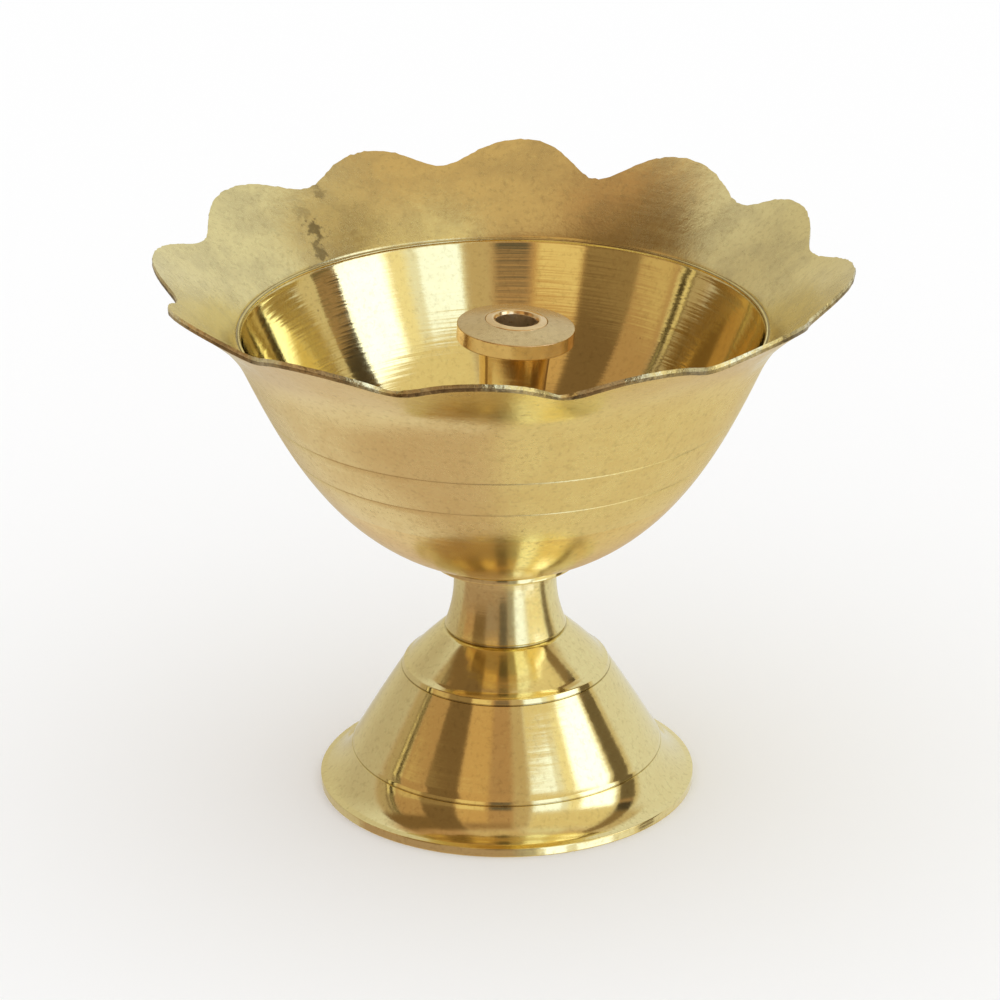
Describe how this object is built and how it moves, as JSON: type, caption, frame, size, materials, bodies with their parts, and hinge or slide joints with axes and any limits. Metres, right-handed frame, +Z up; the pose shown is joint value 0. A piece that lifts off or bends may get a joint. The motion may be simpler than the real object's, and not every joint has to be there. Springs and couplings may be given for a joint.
{
  "type": "oil lamp",
  "caption": "Brass oil lamp: scalloped bowl screwed on a bell foot by a central wick holder with a drip disc.",
  "frame": {"origin": "centre of the flat ring that the foot stands on", "axes": "+Z up the lamp's turning axis, -Y towards the viewer, +X to the right"},
  "size_m": [0.0895, 0.0915, 0.0736],
  "materials": {
    "polished_brass": "polished, lathe marks",
    "satin_brass": "satin, collar left as ground",
    "turned_brass": "fine turned",
    "fibre": "oiled fibre washer"
  },
  "bodies": {
    "stand": {"foot": "polished_brass", "seat_ring": "turned_brass"},
    "bowl": {"bowl": "satin_brass"},
    "seal": {"seal_washer": "fibre"},
    "wick_holder": {"wick_stem": "polished_brass", "drip_disc": "turned_brass"}
  },
  "joints": [
    {"name": "bowl_lift", "type": "slide", "parent": "stand", "child": "bowl", "axis": [0, 0, 1], "range_m": [0, 0.03]},
    {"name": "wick_rise", "type": "slide", "parent": "bowl", "child": "seal", "axis": [0, 0, 1], "range_m": [0, 0.0166]},
    {"name": "wick_turn", "type": "hinge", "parent": "seal", "child": "wick_holder", "pos_m": [0, 0, 0.0354], "axis": [0, 0, 1], "range_deg": [0, 4680]}
  ],
  "couplings": [
    {"joint": "wick_rise", "follows": "wick_turn", "m_per_rad": 0.00020213}
  ]
}
